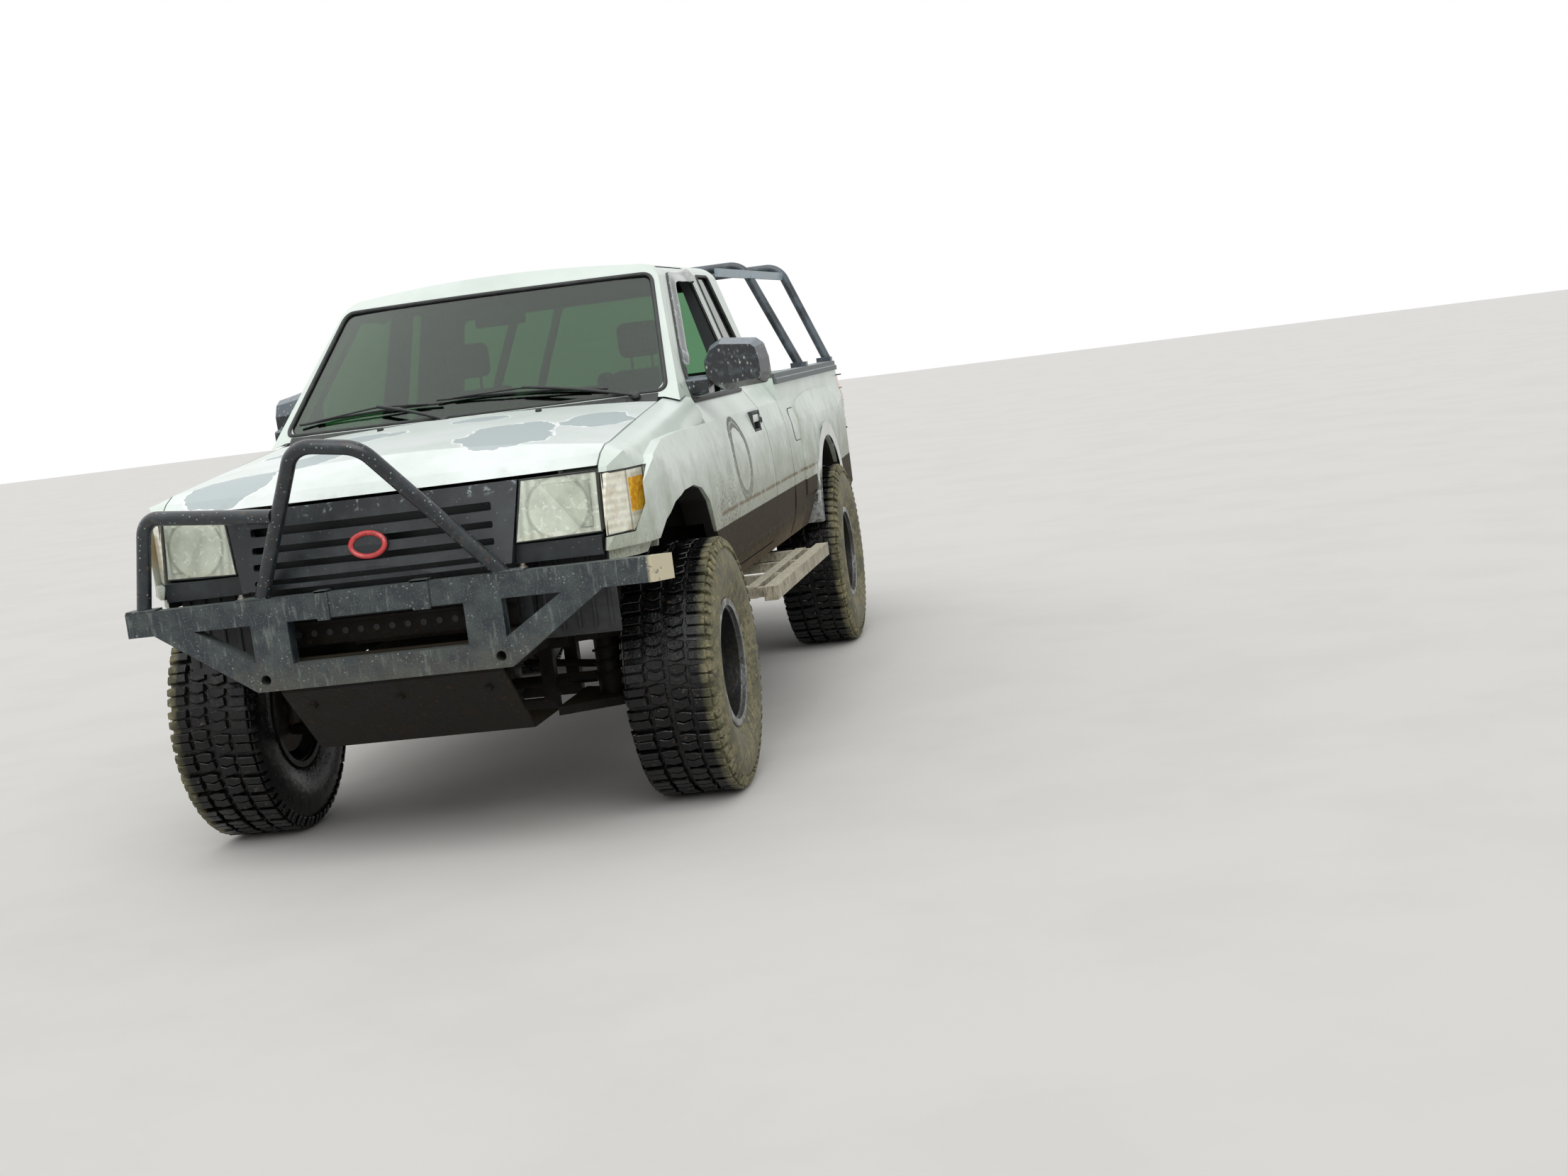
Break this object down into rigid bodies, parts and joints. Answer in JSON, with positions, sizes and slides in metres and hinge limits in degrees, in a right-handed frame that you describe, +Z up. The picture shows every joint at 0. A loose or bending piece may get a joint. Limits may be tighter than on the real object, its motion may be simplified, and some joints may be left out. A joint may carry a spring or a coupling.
{
  "type": "pickup truck",
  "caption": "Lifted off-road 4x4 pickup with extended cab, large lugged tyres, tube bumper with a bent hoop, rock sliders and a tube rack over the load bed.",
  "frame": {"origin": "middle of the outline, on the ground", "axes": "+Z up, the truck's front faces -Y, its driver's side (left) faces +X"},
  "size_m": [1.9989, 5.371, 1.838],
  "materials": {
    "body_paint": "gloss",
    "black_steel": "satin",
    "grey_steel": "satin",
    "rusty_steel": "matte",
    "chassis_steel": "matte",
    "raw_steel": "satin",
    "cast_iron": "matte",
    "rim_steel": "satin",
    "chrome": "polished",
    "black_plastic": "matte",
    "interior": "matte",
    "lamp_lens": "gloss",
    "red_lens": "gloss",
    "glass": "gloss",
    "seat_fabric": "matte",
    "tyre": "matte"
  },
  "bodies": {
    "chassis": {"arch_trims": "chrome", "bed": "body_paint", "bed_rack": "grey_steel", "bumper_hoop": "black_steel", "cab_glass": "glass", "cab_shell": "body_paint", "corner_lamps": "lamp_lens", "dashboard": "interior", "drivetrain": "cast_iron", "engine": "cast_iron", "exhaust": "raw_steel", "fender_left": "body_paint", "fender_right": "body_paint", "frame": "chassis_steel", "front_bumper": "black_steel", "front_panel": "black_plastic", "front_suspension": "chassis_steel", "fuel_tank": "chassis_steel", "grille": "black_plastic", "headlamps": "lamp_lens", "rail_caps": "black_plastic", "rear_axle": "cast_iron", "rear_bumper": "black_steel", "rear_springs": "chassis_steel", "rock_sliders": "rusty_steel", "seats": "seat_fabric", "skid_plate": "chassis_steel", "tail_lamps": "red_lens"},
    "steer_left": {"knuckle_left": "cast_iron"},
    "steer_right": {"knuckle_right": "cast_iron"},
    "left_door": {"door_left": "body_paint", "mirror_left": "black_plastic"},
    "right_door": {"door_right": "body_paint", "mirror_right": "black_plastic", "door_glass_right": "glass"},
    "front_lid": {"hood": "body_paint"},
    "rear_gate": {"tailgate": "body_paint"},
    "wheel_front_left": {"tyre_front_left": "tyre", "rim_front_left": "rim_steel"},
    "wheel_front_right": {"tyre_front_right": "tyre", "rim_front_right": "rim_steel"},
    "wheel_rear_left": {"tyre_rear_left": "tyre", "rim_rear_left": "rim_steel"},
    "wheel_rear_right": {"tyre_rear_right": "tyre", "rim_rear_right": "rim_steel"}
  },
  "joints": [
    {"name": "steer_left_turn", "type": "hinge", "parent": "chassis", "child": "steer_left", "pos_m": [0.64, -1.6445, 0.419], "axis": [0, 0, 1], "range_deg": [-25, 25]},
    {"name": "steer_right_turn", "type": "hinge", "parent": "chassis", "child": "steer_right", "pos_m": [-0.64, -1.6445, 0.419], "axis": [0, 0, 1], "range_deg": [-25, 25]},
    {"name": "front_left_spin", "type": "hinge", "parent": "steer_left", "child": "wheel_front_left", "pos_m": [0.76, -1.6445, 0.419], "axis": [1, 0, 0], "continuous": true},
    {"name": "front_right_spin", "type": "hinge", "parent": "steer_right", "child": "wheel_front_right", "pos_m": [-0.76, -1.6445, 0.419], "axis": [1, 0, 0], "continuous": true},
    {"name": "rear_left_spin", "type": "hinge", "parent": "chassis", "child": "wheel_rear_left", "pos_m": [0.76, 1.4515, 0.419], "axis": [1, 0, 0], "continuous": true},
    {"name": "rear_right_spin", "type": "hinge", "parent": "chassis", "child": "wheel_rear_right", "pos_m": [-0.76, 1.4515, 0.419], "axis": [1, 0, 0], "continuous": true},
    {"name": "left_door_swing", "type": "hinge", "parent": "chassis", "child": "left_door", "pos_m": [0.838, -1.1125, 0.9], "axis": [0, 0, -1], "range_deg": [0, 65]},
    {"name": "right_door_swing", "type": "hinge", "parent": "chassis", "child": "right_door", "pos_m": [-0.838, -1.1125, 0.9], "axis": [0, 0, 1], "range_deg": [0, 65]},
    {"name": "hood_lift", "type": "hinge", "parent": "chassis", "child": "front_lid", "pos_m": [0, -1.3145, 1.325], "axis": [-1, 0, 0], "range_deg": [0, 55]},
    {"name": "tailgate_drop", "type": "hinge", "parent": "chassis", "child": "rear_gate", "pos_m": [0, 2.4655, 0.88], "axis": [-1, 0, 0], "range_deg": [0, 90]}
  ],
  "couplings": [
    {"joint": "steer_right_turn", "follows": "steer_left_turn", "ratio": 1}
  ]
}
